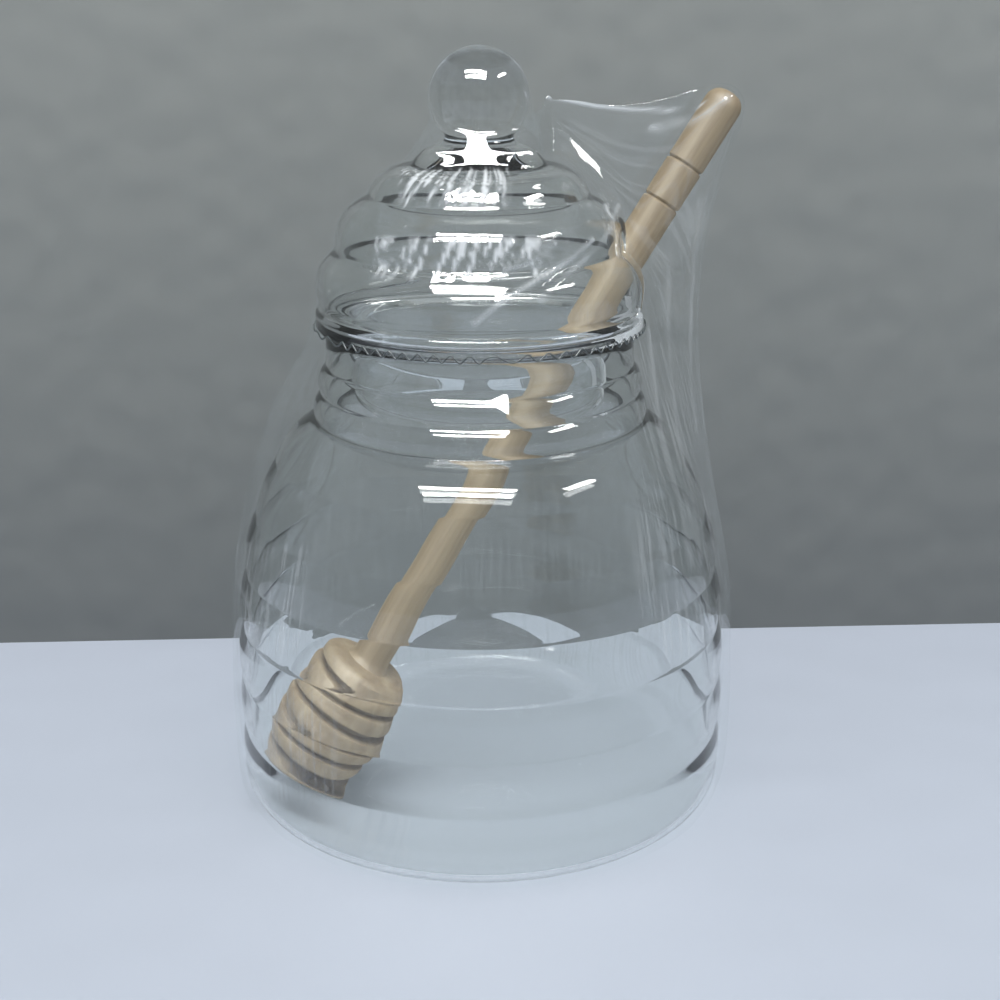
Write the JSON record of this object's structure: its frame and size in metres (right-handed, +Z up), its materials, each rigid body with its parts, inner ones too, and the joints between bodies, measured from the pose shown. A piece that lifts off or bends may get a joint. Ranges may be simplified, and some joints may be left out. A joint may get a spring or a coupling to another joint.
{
  "type": "honey jar with dipper",
  "caption": "Clear glass honey jar with rounded ribs, a domed lid with a ball knob and a notch, a turned wooden dipper leaning out of it, and a taut clear film wrap.",
  "frame": {"origin": "centre of the jar's flat underside, on the surface it stands on", "axes": "+Z up along the jar's axis; +X towards the lid's notch, the side the dipper leans out over; -Y is the side the picture was taken from"},
  "size_m": [0.1059, 0.1056, 0.1536],
  "materials": {
    "glass": "gloss",
    "wood": "matt, sanded, bare",
    "film": "clear gloss"
  },
  "bodies": {
    "root": {"jar": "glass", "lid": "glass", "dipper": "wood", "film_wrap": "film"}
  },
  "joints": []
}
